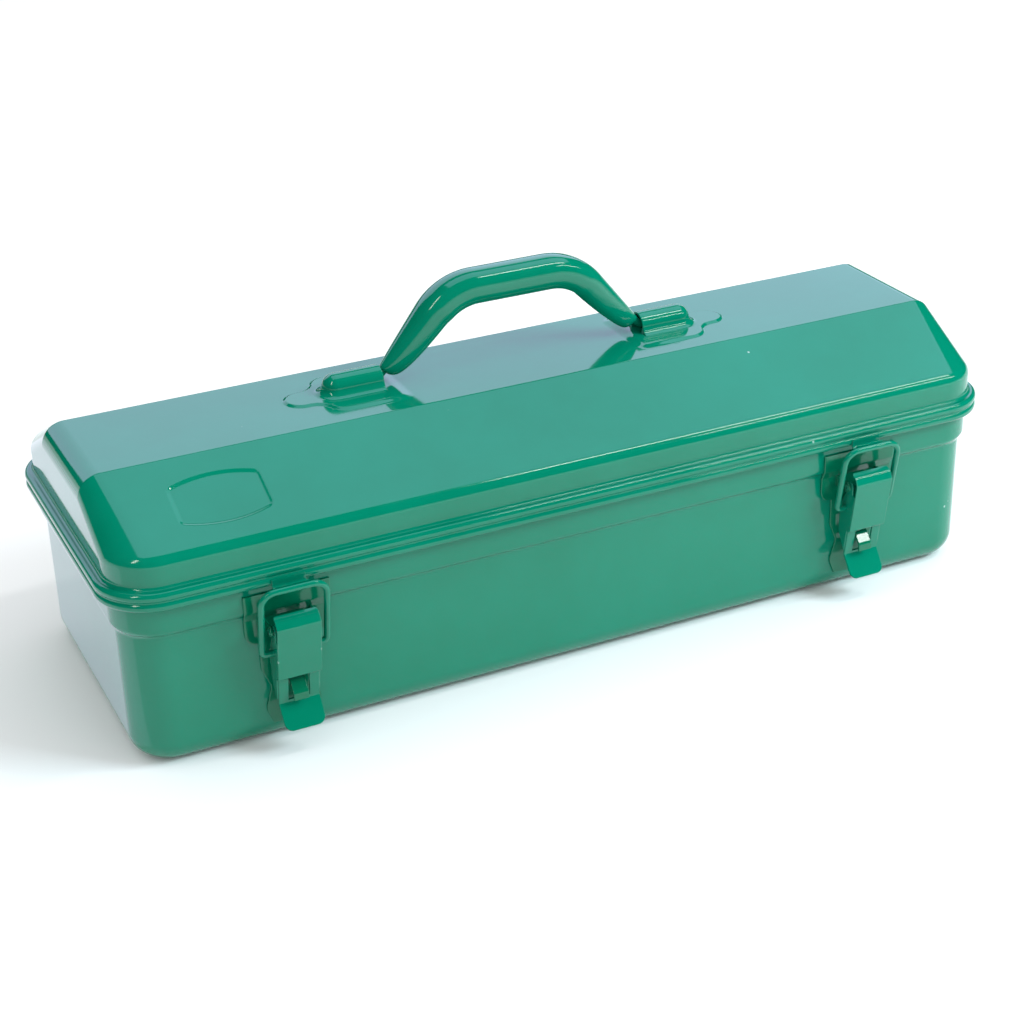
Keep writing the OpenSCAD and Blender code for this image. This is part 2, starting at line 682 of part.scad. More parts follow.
// Wire loop whose ends turn in the lever's cheeks
module quarter_bend(bend, turn) {
    rotate([90, 0, 0]) rotate([0, 0, turn]) rotate_extrude(angle = 90, $fn = round_fn)
        translate([bend, 0]) circle(wire_r, $fn = round_fn);
}
module latch_bail(side) {
    leg_x = bail_w / 2 - wire_r;
    foot_r = 2;
    end_x = lever_w / 2 - plate_t - 1;
    color(paint) at_latch(side) translate([0, bail_pivot[0], bail_pivot[1]]) rotate([-bail_lean, 0, 0]) {
        for (s = [-1, 1]) {
            rod(wire_r, min(s * end_x, s * (leg_x - foot_r)), max(s * end_x, s * (leg_x - foot_r)));
            translate([s * (leg_x - foot_r), 0, foot_r]) quarter_bend(foot_r, s > 0 ? -90 : 180);
            translate([s * leg_x, 0, foot_r])
                cylinder(r = wire_r, h = bail_l - bail_corner_r - foot_r, $fn = round_fn);
            translate([s * (leg_x - bail_corner_r), 0, bail_l - bail_corner_r])
                quarter_bend(bail_corner_r, s > 0 ? 0 : 90);
        }
        translate([0, 0, bail_l]) rod(wire_r, -leg_x + bail_corner_r, leg_x - bail_corner_r);
    }
}

// Keeper welded on the lower bead, curled forward under the place of the hooked bail
module latch_keeper(side) {
    back = hook_centre[0] - hook_r;
    color(paint) at_latch(side) across(keeper_w) difference() {
        union() {
            translate([back - plate_t / 2, hook_centre[1]]) square([plate_t, hook_drop + edge_rise]);
            difference() {
                translate(hook_centre) circle(hook_r + plate_t / 2, $fn = round_fn);
                translate(hook_centre) circle(hook_r - plate_t / 2, $fn = round_fn);
                translate(hook_centre - [2 * hook_r, 0]) square(4 * hook_r);
            }
            translate([lip_out - plate_t, hook_centre[1] - lap]) square([plate_t, plate_t / 2]);
        }
        translate(bead_front) circle(bead_r, $fn = round_fn);
    }
}

// Lift-out tray that hangs by its flange on the body's pinch
tray_flange_w = 1.4;
tray_flange_z = ledge_z + gap;
tray_floor_z = tray_flange_z + sheet_t - tray_depth;
module tray_pan() {
    pan_inset = ledge_inset + gap;
    color(paint_pale) difference() {
        union() {
            block(plan(ledge_inset - tray_flange_w), tray_flange_z, tray_flange_z + sheet_t);
            tub(plan(pan_inset), tray_edge_r, tray_floor_z, tray_flange_z + sheet_t);
        }
        tub(plan(pan_inset + sheet_t), tray_edge_r - sheet_t, tray_floor_z + sheet_t,
            tray_flange_z + 2 * sheet_t);
    }
}
module tray_grip() {
    foot_z = tray_floor_z + sheet_t;
    bar_z = tray_flange_z + tray_grip_rise;
    post_x = tray_grip_l / 2 - tray_rod_r;
    color(paint_pale) {
        for (s = [-1, 1]) translate([s * post_x, 0, 0]) {
            translate([0, 0, foot_z]) cylinder(r = tray_rod_r, h = bar_z - foot_z, $fn = round_fn);
            translate([0, 0, foot_z]) cylinder(r = 3 * tray_rod_r, h = sheet_t, $fn = round_fn);
            translate([0, 0, bar_z]) sphere(tray_rod_r, $fn = round_fn);
        }
        translate([0, 0, bar_z]) rod(tray_rod_r, -post_x, post_x);
    }
}

body_shell();
lid_shell();
carry_handle();
socket_cover(-1);  // socket_cover_left
socket_cover(1);  // socket_cover_right
hinge_body_leaf(-1);  // hinge_body_leaf_left
hinge_body_leaf(1);  // hinge_body_leaf_right
hinge_lid_leaf(-1);  // hinge_lid_leaf_left
hinge_lid_leaf(1);  // hinge_lid_leaf_right
hinge_pin(-1);  // hinge_pin_left
hinge_pin(1);  // hinge_pin_right
latch_base(-1);  // latch_base_left
latch_base(1);  // latch_base_right
latch_staple(-1);  // latch_staple_left
latch_staple(1);  // latch_staple_right
latch_pin(-1);  // latch_pin_left
latch_pin(1);  // latch_pin_right
latch_lever(-1);  // latch_lever_left
latch_lever(1);  // latch_lever_right
latch_bail(-1);  // latch_bail_left
latch_bail(1);  // latch_bail_right
latch_keeper(-1);  // latch_keeper_left
latch_keeper(1);  // latch_keeper_right
tray_pan();
tray_grip();
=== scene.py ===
# Looks of a pressed steel toolbox: camber-top lid, bow handle, lift-out tray and two draw latches.
# Lengths in this script are in millimetres until a piece is made, and in the frame of the CAD model.
import math

import bpy
import numpy as np
from mathutils import Matrix, Vector
from mathutils.geometry import tessellate_polygon


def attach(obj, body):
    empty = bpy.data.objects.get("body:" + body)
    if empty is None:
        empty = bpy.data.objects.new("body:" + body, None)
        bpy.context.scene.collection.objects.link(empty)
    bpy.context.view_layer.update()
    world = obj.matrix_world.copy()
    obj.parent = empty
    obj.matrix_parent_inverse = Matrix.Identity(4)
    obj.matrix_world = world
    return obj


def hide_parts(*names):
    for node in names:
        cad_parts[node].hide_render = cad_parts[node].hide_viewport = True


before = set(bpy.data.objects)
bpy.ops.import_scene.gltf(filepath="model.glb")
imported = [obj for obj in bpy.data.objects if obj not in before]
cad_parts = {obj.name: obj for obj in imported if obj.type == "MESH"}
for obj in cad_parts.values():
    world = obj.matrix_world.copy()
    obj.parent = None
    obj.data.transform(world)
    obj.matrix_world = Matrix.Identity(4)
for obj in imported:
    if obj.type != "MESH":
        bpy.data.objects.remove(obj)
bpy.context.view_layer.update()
MM = 0.001

# Rim, walls and lid
CORNER = (181.0, 53.0)
RIM_R = 24.0
SHEET = 0.8
CREASE_Z, CREASE_RING, CREASE_R = 90.442, 14.5, 5.5
CREST_X, CREST_Y, CREST_Z, CREST_DISC, CREST_R = 191.0, 27.857, 104.0, 7.0, 3.0
CREASE_STEPS, CREST_STEPS = 12, 14
LID_LOW_Z, TOP_Z = 78.3, 114.0
WALL_Y, SLOPE_FOOT_Z, SLOPE_TOP_Y = 73.0, 94.0, 28.5
SLOPE = math.atan2(TOP_Z - SLOPE_FOOT_Z, WALL_Y - SLOPE_TOP_Y)
SLOPE_L = math.hypot(TOP_Z - SLOPE_FOOT_Z, WALL_Y - SLOPE_TOP_Y)
PANEL_X = -150.5

# Sockets and pads
MOUTH_X, SOCKET_END_X, SLOT_X = 62.0, 82.0, 65.0
SOCKET_Z, SOCKET_R, SOCKET_IN_R, FLARE_R = 117.2, 5.9, 5.1, 4.0
PAD_Z = 114.8
FLARE_Y = math.sqrt((SOCKET_R + FLARE_R) ** 2 - (PAD_Z + FLARE_R - SOCKET_Z) ** 2)
FLARE_TURN = math.degrees(math.atan2(PAD_Z + FLARE_R - SOCKET_Z, FLARE_Y))

# Latches, as [distance in front of the lower wall, height]
LATCH_X, WALL_FRONT_Y = 134.0, -70.5
PIVOT, EYE_R = (9.6, 56.4), 2.4
BAIL_PIVOT, WIRE_R = (7.3, 45.4), 1.35
PLATE, LEVER_W, EAR_X = 1.0, 18.4, 9.5
BASE_LOW_Z, BASE_TOP_Z, BASE_NECK_W = 9.6, 70.0, 18.4
HOOK, HOOK_R = (8.48, 75.2), 1.9


def arc(centre, r, start, end, steps, inward=False):
    """Points on an arc with their normals, as rows of [x, y, normal x, normal y]; angles in degrees."""
    rows = []
    for i in range(steps + 1):
        a = math.radians(start + (end - start) * i / steps)
        c, s = math.cos(a), math.sin(a)
        side = -1.0 if inward else 1.0
        rows.append((centre[0] + r * c, centre[1] + r * s, side * c, side * s))
    return rows


def rounded_path(corners, steps=8, closed=False):
    """A path through corners [x, y, radius], with rounded bends.

    Its normals point to the right of the travel."""
    count = len(corners)
    rows = []
    for i, (x, y, r) in enumerate(corners):
        here = np.array([x, y], float)
        ends = not closed and i in (0, count - 1)
        before = here - np.array(corners[i - 1][:2], float) if (closed or i > 0) else None
        after = np.array(corners[(i + 1) % count][:2], float) - here if (closed or i < count - 1) else None
        d0 = before / np.linalg.norm(before) if before is not None else None
        d1 = after / np.linalg.norm(after) if after is not None else None
        if ends:
            d = d1 if d0 is None else d0
            rows.append((x, y, d[1], -d[0]))
            continue
        turn = math.atan2(d0[0] * d1[1] - d0[1] * d1[0], float(np.dot(d0, d1)))
        if r <= 0 or abs(turn) < 1e-4:
            rows.append((x, y, d0[1], -d0[0]))
            rows.append((x, y, d1[1], -d1[0]))
            continue
        start = here - d0 * r * math.tan(abs(turn) / 2)
        side = 1.0 if turn > 0 else -1.0
        n0 = np.array([d0[1], -d0[0]])
        centre = start - side * r * n0
        for k in range(steps + 1):
            a = turn * k / steps
            c, s = math.cos(a), math.sin(a)
            n = np.array([n0[0] * c - n0[1] * s, n0[0] * s + n0[1] * c])
            p = centre + side * r * n
            rows.append((p[0], p[1], n[0], n[1]))
    return rows


class Pressing:
    """Gathers smooth grids and flat faces into one mesh with exact normals."""

    def __init__(self):
        self.points, self.normals, self.faces = [], [], []

    def _face(self, ids):
        """Adds a face on its normals' side, without doubled corners; one without area is left out."""
        kept = []
        for k in ids:
            if not kept or np.linalg.norm(self.points[k] - self.points[kept[-1]]) > 1e-5:
                kept.append(k)
        if len(kept) > 1 and np.linalg.norm(self.points[kept[0]] - self.points[kept[-1]]) < 1e-5:
            kept.pop()
        if len(kept) < 3:
            return
        corner = [self.points[k] for k in kept]
        across = sum(np.cross(corner[i] - corner[0], corner[(i + 1) % len(corner)] - corner[0])
                     for i in range(1, len(corner)))
        if np.linalg.norm(across) < 1e-7:
            return
        if np.dot(across, sum(self.normals[k] for k in kept)) < 0:
            kept.reverse()
        self.faces.append(kept)

    def grid(self, points, normals, ring_rows=False, ring_columns=False):
        """A smooth sheet through rows of points, which closes on itself where it is a ring."""
        points, normals = np.asarray(points, float), np.asarray(normals, float)
        rows, columns = points.shape[:2]
        start = len(self.points)
        self.points.extend(points.reshape(-1, 3))
        self.normals.extend(normals.reshape(-1, 3))
        for i in range(rows if ring_rows else rows - 1):
            for j in range(columns if ring_columns else columns - 1):
                i2, j2 = (i + 1) % rows, (j + 1) % columns
                self._face([start + i * columns + j, start + i * columns + j2,
                            start + i2 * columns + j2, start + i2 * columns + j])

    def flat(self, loops, normal):
        """A flat face inside the first loop; further loops are its holes."""
        start = len(self.points)
        normal = np.array(normal, float)
        triangles = tessellate_polygon([[Vector(p) for p in loop] for loop in loops])
        for loop in loops:
            self.points.extend(np.array(p, float) for p in loop)
            self.normals.extend(normal for _ in loop)
        for triangle in triangles:
            self._face([start + k for k in triangle])

    def turned(self, matrix):
        """A copy of everything so far, turned and moved by a 4 x 4 matrix."""
        copy = Pressing()
        m = np.array(matrix)
        copy.points = [m[:3, :3] @ p + m[:3, 3] for p in self.points]
        copy.normals = [m[:3, :3] @ n for n in self.normals]
        for face in self.faces:
            copy._face(face)
        return copy

    def add(self, other):
        """Takes in everything of another pressing."""
        start = len(self.points)
        self.points.extend(other.points)
        self.normals.extend(other.normals)
        self.faces.extend([k + start for k in face] for face in other.faces)

    def make(self, name, body, finish, nodes, slot):
        """The mesh object in metres, riding on its body in place of the CAD nodes."""
        mesh = bpy.data.meshes.new(name)
        mesh.from_pydata([tuple(p * MM) for p in self.points], [], self.faces)
        mesh.polygons.foreach_set("use_smooth", [True] * len(mesh.polygons))
        mesh.normals_split_custom_set_from_vertices([tuple(n / np.linalg.norm(n)) for n in self.normals])
        mesh.materials.append(finish)
        piece = bpy.data.objects.new(name, mesh)
        bpy.context.scene.collection.objects.link(piece)
        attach(piece, body)
        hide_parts(*nodes)


def rim_round(steps=22):
    """Stations once round the rim: corner centre and outward angle."""
    stations = []
    for k, (sx, sy) in enumerate([(1, 1), (-1, 1), (-1, -1), (1, -1)]):
        for i in range(steps + 1):
            stations.append((sx * CORNER[0], sy * CORNER[1], math.radians(90 * k + 90 * i / steps)))
    return stations


def carry_round(pressing, section):
    """Carries a section [distance out of the rim's face, height, normal] once round the rim."""
    points, normals = [], []
    for cx, cy, a in rim_round():
        c, s = math.cos(a), math.sin(a)
        points.append([(cx + (RIM_R + d) * c, cy + (RIM_R + d) * s, z) for d, z, nd, nz in section])
        normals.append([(nd * c, nd * s, nz) for d, z, nd, nz in section])
    pressing.grid(points, normals, ring_rows=True)


def rim_loop(d, z):
    """A level loop once round, at a distance out of the rim's face."""
    r = RIM_R + d
    return [(cx + r * math.cos(a), cy + r * math.sin(a), z) for cx, cy, a in rim_round()]


# Body pan

def body_pan():
    """Deep-drawn pan: rounded foot, wall, pinch with the tray's ledge inside, and mouth."""
    pan = Pressing()
    flat, wall, mouth, ledge = -17.5, -6.5, -4.5, -8.8
    foot_r, edge_r, ledge_r = 11.0, 0.38, 0.3
    top_z, ledge_z, ledge_low_z = 78.0, 60.8, 59.2
    step_low, step_high = (60.09, 3.0), (62.01, 3.5)
    carry_round(pan, rounded_path([
        (flat, 0, 0), (wall, 0, foot_r), (wall, *step_low), (mouth, *step_high), (mouth, top_z, edge_r),
        (mouth - SHEET, top_z, edge_r), (mouth - SHEET, ledge_z, 2.7), (ledge, ledge_z, ledge_r),
        (ledge, ledge_low_z, ledge_r), (wall - SHEET, ledge_low_z, 0.2),
        (wall - SHEET, SHEET, foot_r - SHEET), (flat, SHEET, 0)], steps=10))
    pan.flat([rim_loop(flat, 0)], (0, 0, -1))
    pan.flat([rim_loop(flat, SHEET)], (0, 0, 1))
    return pan


# Lid

def crease_point(a, t, sx, sy):
    """Where the crease round the lid faces azimuth a and elevation t, and its normal."""
    n = np.array([sx * math.cos(a) * math.cos(t), sy * math.sin(a) * math.cos(t), math.sin(t)])
    ring = np.array([sx * (CORNER[0] + CREASE_RING * math.cos(a)),
                     sy * (CORNER[1] + CREASE_RING * math.sin(a)), CREASE_Z])
    return ring + CREASE_R * n, n


def crest_point(a, t, sx, sy):
    """Where the edge of the flat top faces azimuth a and elevation t, and its normal."""
    n = np.array([sx * math.cos(a) * math.cos(t), sy * math.sin(a) * math.cos(t), math.sin(t)])
    reach = math.hypot(n[0], n[2])
    disc = np.array([n[0] / reach, 0, n[2] / reach]) if reach > 1e-9 else np.array([0, 0, 1.0])
    return np.array([sx * CREST_X, sy * CREST_Y, CREST_Z]) + CREST_DISC * disc + CREST_R * n, n


def meeting_elevation(a):
    """Elevation at which crease and crest are joined by one straight line at azimuth a."""
    low, high = 0.0, math.pi / 2 - 1e-6
    if a < 1e-6:
        return 0.0
    for _ in range(60):
        t = (low + high) / 2
        p, n = crease_point(a, t, 1, 1)
        q, _n = crest_point(a, t, 1, 1)
        if np.dot(p - q, n) > 0:
            low = t
        else:
            high = t
    return low


def camber_stations(steps=26):
    """Rows of the camber from the foot of the crease up to the flat top, once round the lid."""
    angles = [math.pi / 2 * (1 - math.cos(math.pi / 2 * i / steps)) for i in range(steps + 1)]
    quarter = []
    for a in angles:
        meet = meeting_elevation(a)
        quarter.append((a, [meet * k / CREASE_STEPS for k in range(CREASE_STEPS + 1)],
                        [meet + (math.pi / 2 - meet) * k / CREST_STEPS for k in range(CREST_STEPS + 1)]))
    rows = []
    for k, (sx, sy) in enumerate([(1, 1), (-1, 1), (-1, -1), (1, -1)]):
        for a, lower, upper in (quarter if k % 2 == 0 else reversed(quarter)):
            rows.append([crease_point(a, t, sx, sy) for t in lower]
                        + [crest_point(a, t, sx, sy) for t in upper])
    return rows


def pad_rim():
    """Right pad's outline with its outward normals, anticlockwise from the tip of the tongue."""
    tip_x, tip_r = 97.0, 7.5
    cove_x, bend_r = 96.0, 8.0
    end_x, end_r, half_w = 59.0, 3.0, 18.5
    turn = math.degrees(math.acos(1 - (half_w - tip_r) / (2 * bend_r)))
    corner_x = cove_x - 2 * bend_r * math.sin(math.radians(turn))
    half = (arc((tip_x, 0), tip_r, 0, 90, 12)
            + arc((cove_x, tip_r + bend_r), bend_r, 270, 270 - turn, 12, inward=True)
            + arc((corner_x, half_w - bend_r), bend_r, 90 - turn, 90, 12)[1:]
            + arc((end_x, half_w - end_r), end_r, 90, 180, 8))
    return half + [(x, -y, nx, -ny) for x, y, nx, ny in reversed(half[1:])]


def pad_step():
    """Soft step round the right pad, drawn out to nothing visible at the inner end under the handle."""
    return soft_step(pad_rim(), PAD_Z - TOP_Z, 1.0, fade=(70.0, 59.0, 2.0))


def soft_step(outline, height, narrow, steps=8, fade=None):
    """Rows of points and normals across the soft step along an outline.

    fade [x, x, extra half width] widens the step between the two places."""
    rows = []
    for x, y, nx, ny in outline:
        reach = narrow
        if fade:
            reach += fade[2] * min(1.0, max(0.0, (fade[0] - x) / (fade[0] - fade[1])))
        row = []
        for k in range(steps + 1):
            u = k / steps
            t = reach * (1 - 2 * u)
            rise = height * (3 * u * u - 2 * u ** 3)
            slope = height * 6 * u * (1 - u) / (2 * reach)
            n = np.array([nx * slope, ny * slope, 1.0])
            n /= np.linalg.norm(n)
            row.append(((x + nx * t, y + ny * t, rise), n))
        rows.append(row)
    return rows


def socket_section():
    """Outer contour across a socket from one foot of the flare over the top: [y, z, normal y, normal z]."""
    flare = arc((FLARE_Y, PAD_Z + FLARE_R), FLARE_R, 270, 180 + FLARE_TURN, 10, inward=True)
    top = arc((0, SOCKET_Z), SOCKET_R, FLARE_TURN, 90, 14)
    return flare + top[1:]


def socket():
    """Right socket on its pad, open at the mouth."""
    part = Pressing()
    step = pad_step()
    part.grid([[(x, y, TOP_Z + z) for (x, y, z), n in row] for row in step],
              [[n for _p, n in row] for row in step], ring_rows=True)
    pad_top = [(row[-1][0][0], row[-1][0][1], PAD_Z) for row in step]
    foot = ([(MOUTH_X, -FLARE_Y, PAD_Z)]
            + [(SOCKET_END_X + FLARE_Y * math.cos(a), FLARE_Y * math.sin(a), PAD_Z)
               for a in np.linspace(-math.pi / 2, math.pi / 2, 33)]
            + [(MOUTH_X, FLARE_Y, PAD_Z)])
    mouth_low = math.sqrt(SOCKET_IN_R ** 2 - (SOCKET_Z - PAD_Z) ** 2)
    foot = [(MOUTH_X, mouth_low, PAD_Z), (SLOT_X, mouth_low, PAD_Z), (SLOT_X, -mouth_low, PAD_Z),
            (MOUTH_X, -mouth_low, PAD_Z)] + foot
    part.flat([pad_top, foot], (0, 0, 1))
    # The outer skin, with a rounded lip at the mouth and a round end
    half = socket_section()
    whole = half + [(-y, z, -ny, nz) for y, z, ny, nz in reversed(half[:-1])]
    lip = 0.35
    points, normals = [], []
    for x, shrink, nx in ([(MOUTH_X + lip * (1 - math.sin(b)), lip * (1 - math.cos(b)), -math.sin(b))
                           for b in np.linspace(math.pi / 2, 0, 5)] + [(SOCKET_END_X, 0.0, 0.0)]):
        keep = math.sqrt(1 - nx * nx)
        points.append([(x, y - shrink * ny, z - shrink * nz) for y, z, ny, nz in whole])
        normals.append([(nx, keep * ny, keep * nz) for y, z, ny, nz in whole])
    part.grid(points, normals)
    turned = [(SOCKET_END_X, a) for a in np.linspace(-math.pi / 2, math.pi / 2, 33)]
    part.grid([[(x + y * math.cos(a), y * math.sin(a), z) for y, z, ny, nz in half] for x, a in turned],
              [[(ny * math.cos(a), ny * math.sin(a), nz) for y, z, ny, nz in half] for x, a in turned])
    # The mouth's face, the bore behind it and the hollow that holds the handle's head
    low_turn = math.degrees(math.asin((PAD_Z - SOCKET_Z) / SOCKET_IN_R))
    inner = arc((0, SOCKET_Z), SOCKET_IN_R, low_turn, 90, 33, inward=True)
    pick = np.linspace(0, len(inner) - 1, len(half)).round().astype(int)
    inner_half = [inner[k] for k in pick]
    inner_whole = inner_half + [(-y, z, -ny, nz) for y, z, ny, nz in reversed(inner_half[:-1])]
    face_out = [(MOUTH_X, y - lip * ny, z - lip * nz) for y, z, ny, nz in whole]
    face_in = [(MOUTH_X, y, z) for y, z, ny, nz in inner_whole]
    part.grid([face_out, face_in], [[(-1, 0, 0)] * len(face_out)] * 2)
    part.grid([[(x, y, z) for y, z, ny, nz in inner_whole] for x in (MOUTH_X, SLOT_X)],
              [[(0, ny, nz) for y, z, ny, nz in inner_whole]] * 2)
    hollow = ([(SOCKET_IN_R, TOP_Z - SHEET, -1, 0), (SOCKET_IN_R, SOCKET_Z, -1, 0)]
              + arc((0, SOCKET_Z), SOCKET_IN_R, 0, 180, 24, inward=True)
              + [(-SOCKET_IN_R, SOCKET_Z, 1, 0), (-SOCKET_IN_R, TOP_Z - SHEET, 1, 0)])
    part.grid([[(x, y, z) for y, z, ny, nz in hollow] for x in (SLOT_X, SOCKET_END_X)],
              [[(0, ny, nz) for y, z, ny, nz in hollow]] * 2)
    end = ([(SOCKET_IN_R, TOP_Z - SHEET, -1, 0)]
           + arc((0, SOCKET_Z), SOCKET_IN_R, 0, 90, 12, inward=True))
    part.grid([[(x + y * math.cos(a), y * math.sin(a), z) for y, z, ny, nz in end] for x, a in turned],
              [[(ny * math.cos(a), ny * math.sin(a), nz) for y, z, ny, nz in end] for x, a in turned])
    return part


def panel_rim():
    """Outline of the blank panel with its outward normals, drawn at its middle."""
    half_w, half_h, bow, corner = 18.5, 12.5, 3.5, 2.5
    bow_r = (half_w ** 2 + bow ** 2) / (2 * bow)
    bow_y = half_h - bow_r
    corner_y = bow_y + math.sqrt((bow_r - corner) ** 2 - (half_w - corner) ** 2)
    meet = math.degrees(math.atan2(corner_y - bow_y, half_w - corner))
    upper = (arc((half_w - corner, corner_y), corner, 0, meet, 8)
             + arc((0, bow_y), bow_r, meet, 180 - meet, 20)[1:]
             + arc((corner - half_w, corner_y), corner, 180 - meet, 180, 8)[1:])
    return upper + [(-x, -y, -nx, -ny) for x, y, nx, ny in upper]


def rim_beads():
    """Outer and inner contour of the two beads that run round the lid's rim."""
    bead_r, low_z, high_z = 2.1, 76.0, 80.0
    groove, groove_r, groove_turn = (0.0, 78.0), 0.8, 43.6
    cove, cove_r, cove_turn = (-2.5, 83.578), 1.5, 96.37
    return ([(-2 * bead_r, LID_LOW_Z, -1, 0), (-2 * bead_r, low_z, -1, 0)]
            + arc((-bead_r, low_z), bead_r, 180, 360 + groove_turn, 26)
            + arc(groove, groove_r, 180 + groove_turn, 180 - groove_turn, 8, inward=True)
            + arc((-bead_r, high_z), bead_r, -groove_turn, cove_turn, 18)
            + arc(cove, cove_r, 180 + cove_turn, 180, 8, inward=True)
            + [(cove[0] - cove_r, CREASE_Z, 1, 0)])


def camber_lid():
    """Lid: beads round the rim, crease, camber, front slope with its panel, flat top with both sockets."""
    lid = Pressing()
    skirt, mouth = -4.8, -4.2
    carry_round(lid, rim_beads())
    carry_round(lid, [(skirt, CREASE_Z, -1, 0), (skirt, LID_LOW_Z, -1, 0), (skirt, LID_LOW_Z, 0, -1),
                      (mouth, LID_LOW_Z, 0, -1)])
    rows = camber_stations()
    points = np.array([[p for p, n in row] for row in rows])
    normals = np.array([[n for p, n in row] for row in rows])
    count = len(rows)
    front = 3 * count // 4 - 1
    foot, head = CREASE_STEPS, CREASE_STEPS + 1
    for skin, side in ((0.0, 1.0), (SHEET, -1.0)):
        skin_points, skin_normals = points - skin * normals, side * normals
        lid.grid(skin_points[:, :head], skin_normals[:, :head], ring_rows=True)
        lid.grid(skin_points[:, head:], skin_normals[:, head:], ring_rows=True)
        for i in range(count):
            if side > 0 and i == front:
                continue
            pair = [i, (i + 1) % count]
            lid.grid(skin_points[pair, foot:head + 1], skin_normals[pair, foot:head + 1])

    # The front slope, with the blank panel pressed into it
    up = np.array([0, math.cos(SLOPE), math.sin(SLOPE)])
    out = np.array([0, -math.sin(SLOPE), math.cos(SLOPE)])
    middle = np.array([PANEL_X, -WALL_Y, SLOPE_FOOT_Z]) + up * SLOPE_L / 2
    tilt = np.column_stack([(1, 0, 0), up, out])
    panel_depth, half_width = 0.6, 1.25
    step = soft_step(panel_rim(), -panel_depth, half_width)
    step_points = [[middle + tilt @ p for p, n in row] for row in step]
    lid.grid(step_points, [[tilt @ n for p, n in row] for row in step], ring_rows=True)
    lid.flat([[row[-1] for row in step_points]], out)
    lid.flat([[points[front, foot], points[front + 1, foot], points[front + 1, head], points[front, head]],
              [row[0] for row in step_points]], out)

    # The flat top with both sockets
    right = socket()
    half_turn = Matrix.Rotation(math.pi, 4, "Z")
    top = [(sx * CREST_X, sy * CREST_Y, TOP_Z) for sx, sy in ((1, 1), (-1, 1), (-1, -1), (1, -1))]
    edge = [(row[0][0][0], row[0][0][1], TOP_Z) for row in pad_step()]
    lid.flat([top, edge, [(-x, -y, z) for x, y, z in edge]], (0, 0, 1))
    slot = [(SLOT_X, -SOCKET_IN_R), (SOCKET_END_X, -SOCKET_IN_R), (SOCKET_END_X, SOCKET_IN_R),
            (SLOT_X, SOCKET_IN_R)]
    under = TOP_Z - SHEET
    lid.flat([[(x, y, under) for x, y, z in top], [(x, y, under) for x, y in slot],
              [(-x, -y, under) for x, y in slot]], (0, 0, -1))
    lid.add(right)
    lid.add(right.turned(half_turn))
    return lid


# Handle

GRIP_TOP_Z, GRIP_HALF_FLAT, GRIP_HALF_W, GRIP_HALF_H, GRIP_SHEET = 157.8, 17.0, 8.25, 7.5, 1.4
SHOULDER_R, LEG_TURN, FOOT_R, NECK_R = 33.0, math.radians(51.5), 6.0, 2.1
TAPER_FROM, TAPER_POWER, HEIGHT_POWER, GRIP_SQUARENESS = 0.8, 0.42, 0.7, 2.5


def handle_line():
    """Top line of the handle from end to end: rows of [x, height, slope, share of the full section]."""
    shoulder_end = (GRIP_HALF_FLAT + SHOULDER_R * math.sin(LEG_TURN),
                    GRIP_TOP_Z - SHOULDER_R * (1 - math.cos(LEG_TURN)))
    drop = shoulder_end[1] - SOCKET_Z - NECK_R
    run = drop / math.sin(LEG_TURN) - FOOT_R * math.tan(LEG_TURN / 2)
    leg_end = (shoulder_end[0] + run * math.cos(LEG_TURN), shoulder_end[1] - run * math.sin(LEG_TURN))
    rest = SHOULDER_R * LEG_TURN * (1 - TAPER_FROM)

    def share(length):
        return max(0.0, 1 - max(0.0, length) / (rest + run)) ** TAPER_POWER

    half = [(GRIP_HALF_FLAT * k / 6, GRIP_TOP_Z, 0.0, 1.0) for k in range(6)]
    for a in np.linspace(0, LEG_TURN, 25):
        half.append((GRIP_HALF_FLAT + SHOULDER_R * math.sin(a), GRIP_TOP_Z - SHOULDER_R * (1 - math.cos(a)),
                     a, share(SHOULDER_R * (a - TAPER_FROM * LEG_TURN))))
    for s in 1 - (1 - np.linspace(0, 1, 41)[1:]) ** 2.2:
        half.append((shoulder_end[0] + (leg_end[0] - shoulder_end[0]) * s,
                     shoulder_end[1] + (leg_end[1] - shoulder_end[1]) * s, LEG_TURN, share(rest + s * run)))
    for a in np.linspace(LEG_TURN, 0, 9)[1:]:
        half.append((leg_end[0] + FOOT_R * (math.sin(LEG_TURN) - math.sin(a)),
                     leg_end[1] - FOOT_R * (math.cos(a) - math.cos(LEG_TURN)), a, 0.0))
    return [(-x, z, -a, w) for x, z, a, w in reversed(half[1:])] + half


def handle_skin(line, turns, inset):
    """Rows of points round the open section, along the handle's top line."""
    end_r = NECK_R - 0.2
    rows = []
    for x, z, a, w in line:
        half_w = end_r + (GRIP_HALF_W - end_r) * w
        half_h = end_r + (GRIP_HALF_H - end_r) * w ** HEIGHT_POWER
        row = []
        for t in turns:
            c, s = abs(math.cos(t)), abs(math.sin(t))
            r = (c ** GRIP_SQUARENESS + s ** GRIP_SQUARENESS) ** (-1 / GRIP_SQUARENESS)
            v = (half_h - inset) * r * math.sin(t) - half_h
            row.append((x + v * math.sin(a), (half_w - inset) * r * math.cos(t), z + v * math.cos(a)))
        rows.append(row)
    return np.array(rows)


def skin_normals(rows):
    """Unit normals of a skin of the handle, turned outward."""
    n = np.cross(np.gradient(rows, axis=0), np.gradient(rows, axis=1))
    n /= np.linalg.norm(n, axis=2, keepdims=True)
    top = rows.shape[1] // 2
    outward = rows[:, top] - rows.mean(axis=1)
    return n * np.sign(np.einsum("ij,ij->i", n[:, top], outward))[:, None, None]


